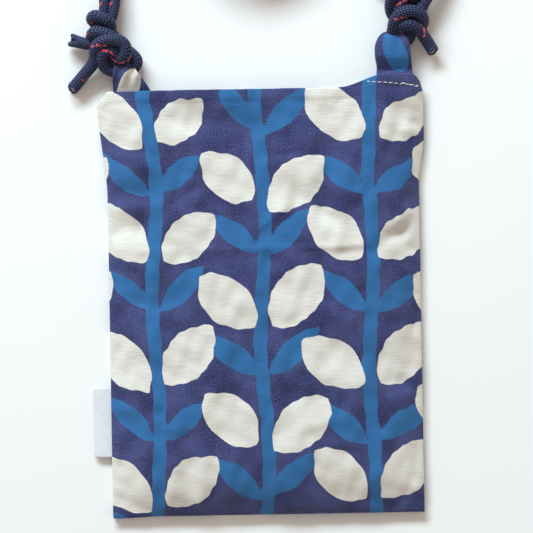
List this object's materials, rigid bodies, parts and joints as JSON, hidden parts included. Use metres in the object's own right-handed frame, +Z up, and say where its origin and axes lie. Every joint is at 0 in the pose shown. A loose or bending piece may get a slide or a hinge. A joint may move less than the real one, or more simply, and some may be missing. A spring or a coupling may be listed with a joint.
{
  "type": "crossbody pouch",
  "caption": "Flat open-top fabric pouch lying on its back, with cloth tab loops and a knotted braided rope strap whose spare length is coiled behind its mouth.",
  "frame": {"origin": "on the surface the pouch lies on, under the middle of the pouch with its tabs and label, the strap left out", "axes": "+X across the pouch to the right as seen from its front, +Y from the bottom seam to the open mouth, +Z up out of the front panel"},
  "size_m": [0.1951, 0.3567, 0.0223],
  "materials": {
    "printed_canvas": "plain-weave cotton and linen canvas, matt, navy ground with cream and blue leaf print",
    "lining_cotton": "thin plain cotton, matt, undyed",
    "woven_label": "white woven tape, slight satin",
    "braided_rope": "braided navy cord with coral tracer flecks, slight sheen"
  },
  "bodies": {
    "root": {"outer_front_panel": "printed_canvas", "outer_back_panel": "printed_canvas", "left_tab": "printed_canvas", "right_tab": "printed_canvas", "lining_front": "lining_cotton", "lining_back": "lining_cotton", "side_label": "woven_label", "left_knot": "braided_rope", "right_knot": "braided_rope", "rope_a_left_run": "braided_rope", "rope_a_right_run": "braided_rope", "rope_a_coil": "braided_rope", "rope_b_left_run": "braided_rope", "rope_b_right_run": "braided_rope", "rope_b_coil": "braided_rope"}
  },
  "joints": []
}
